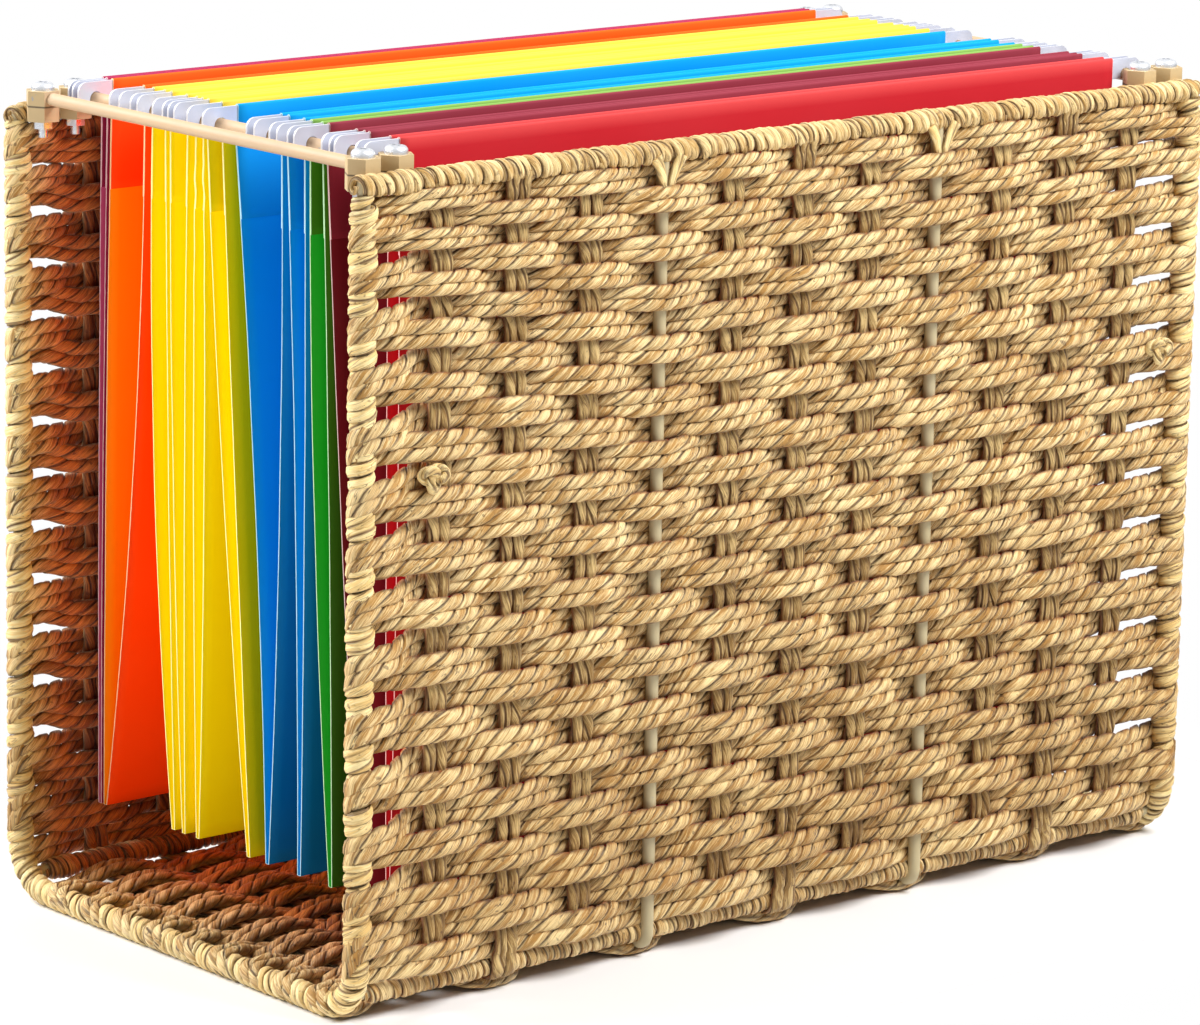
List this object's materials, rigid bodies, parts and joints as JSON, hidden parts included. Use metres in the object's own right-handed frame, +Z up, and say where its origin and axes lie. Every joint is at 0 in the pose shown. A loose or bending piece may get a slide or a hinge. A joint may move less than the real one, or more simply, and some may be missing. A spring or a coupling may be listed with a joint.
{
  "type": "hanging file basket",
  "caption": "Open-ended woven rope basket on a wire frame, with bolted steel rails across the top that carry sliding hanging files.",
  "frame": {"origin": "on the surface the basket stands on, below the middle of the basket", "axes": "+X along the length of the files, +Y from the front woven wall to the back one, +Z up"},
  "size_m": [0.354, 0.1822, 0.2644],
  "materials": {
    "seagrass_rope": "dry twisted seagrass rope, pale straw, matt with a faint sheen on the strands",
    "seagrass_stake": "twisted seagrass rope, a little darker tan, matt",
    "wire_paint": "satin beige paint on steel wire",
    "bar_paint": "satin light beige paint on steel bar",
    "zinc_hardware": "bright zinc plate",
    "hanger_plate": "pale lilac-grey coating with white cut edges",
    "card_plum": "smooth plum card with white cut edges",
    "card_orange": "smooth orange card with white cut edges",
    "card_yellow": "smooth yellow card with white cut edges",
    "card_blue": "smooth blue card with white cut edges",
    "card_green": "smooth green card with white cut edges",
    "card_wine": "smooth wine card with white cut edges",
    "card_red": "smooth red card with white cut edges"
  },
  "bodies": {
    "basket": {"back_base_rod": "wire_paint", "back_base_wrap": "seagrass_rope", "back_rim_rod": "wire_paint", "back_rim_wrap": "seagrass_rope", "back_rope_stakes": "seagrass_stake", "back_weave": "seagrass_rope", "base_rope_stakes": "seagrass_stake", "base_weave": "seagrass_rope", "cap_screws": "zinc_hardware", "frame_blocks": "wire_paint", "front_base_rod": "wire_paint", "front_base_wrap": "seagrass_rope", "front_rim_rod": "wire_paint", "front_rim_wrap": "seagrass_rope", "front_rope_stakes": "seagrass_stake", "front_weave": "seagrass_rope", "left_end_bar": "bar_paint", "left_end_loop": "wire_paint", "left_file_rail": "bar_paint", "left_loop_wrap": "seagrass_rope", "left_painted_stake": "wire_paint", "lock_nuts": "zinc_hardware", "right_end_bar": "bar_paint", "right_end_loop": "wire_paint", "right_file_rail": "bar_paint", "right_loop_wrap": "seagrass_rope", "right_painted_stake": "wire_paint"},
    "plum_file": {"plum_file_card": "card_plum", "plum_file_hangers": "hanger_plate"},
    "orange_file": {"orange_file_card": "card_orange", "orange_file_hangers": "hanger_plate"},
    "yellow_file_1": {"yellow_file_1_card": "card_yellow", "yellow_file_1_hangers": "hanger_plate"},
    "yellow_file_2": {"yellow_file_2_card": "card_yellow", "yellow_file_2_hangers": "hanger_plate"},
    "yellow_file_3": {"yellow_file_3_card": "card_yellow", "yellow_file_3_hangers": "hanger_plate"},
    "yellow_file_4": {"yellow_file_4_card": "card_yellow", "yellow_file_4_hangers": "hanger_plate"},
    "blue_file_1": {"blue_file_1_card": "card_blue", "blue_file_1_hangers": "hanger_plate"},
    "blue_file_2": {"blue_file_2_card": "card_blue", "blue_file_2_hangers": "hanger_plate"},
    "green_file": {"green_file_card": "card_green", "green_file_hangers": "hanger_plate"},
    "wine_file_1": {"wine_file_1_card": "card_wine", "wine_file_1_hangers": "hanger_plate"},
    "wine_file_2": {"wine_file_2_card": "card_wine", "wine_file_2_hangers": "hanger_plate"},
    "red_file": {"red_file_card": "card_red", "red_file_hangers": "hanger_plate"}
  },
  "joints": [
    {"name": "plum_file_slide", "type": "slide", "parent": "basket", "child": "plum_file", "axis": [0, 1, 0], "range_m": [-0.0008, 0.0001]},
    {"name": "orange_file_slide", "type": "slide", "parent": "basket", "child": "orange_file", "axis": [0, 1, 0], "range_m": [-0.0029, 0.0008]},
    {"name": "yellow_file_1_slide", "type": "slide", "parent": "basket", "child": "yellow_file_1", "axis": [0, 1, 0], "range_m": [-0.0014, 0.0029]},
    {"name": "yellow_file_2_slide", "type": "slide", "parent": "basket", "child": "yellow_file_2", "axis": [0, 1, 0], "range_m": [-0.003, 0.0014]},
    {"name": "yellow_file_3_slide", "type": "slide", "parent": "basket", "child": "yellow_file_3", "axis": [0, 1, 0], "range_m": [-0.001, 0.003]},
    {"name": "yellow_file_4_slide", "type": "slide", "parent": "basket", "child": "yellow_file_4", "axis": [0, 1, 0], "range_m": [-0.0057, 0.001]},
    {"name": "blue_file_1_slide", "type": "slide", "parent": "basket", "child": "blue_file_1", "axis": [0, 1, 0], "range_m": [-0.0017, 0.0057]},
    {"name": "blue_file_2_slide", "type": "slide", "parent": "basket", "child": "blue_file_2", "axis": [0, 1, 0], "range_m": [-0.0015, 0.0017]},
    {"name": "green_file_slide", "type": "slide", "parent": "basket", "child": "green_file", "axis": [0, 1, 0], "range_m": [-0.0011, 0.0015]},
    {"name": "wine_file_1_slide", "type": "slide", "parent": "basket", "child": "wine_file_1", "axis": [0, 1, 0], "range_m": [-0.0014, 0.0011]},
    {"name": "wine_file_2_slide", "type": "slide", "parent": "basket", "child": "wine_file_2", "axis": [0, 1, 0], "range_m": [-0.0064, 0.0014]},
    {"name": "red_file_slide", "type": "slide", "parent": "basket", "child": "red_file", "axis": [0, 1, 0], "range_m": [-0.0012, 0.0064]}
  ]
}
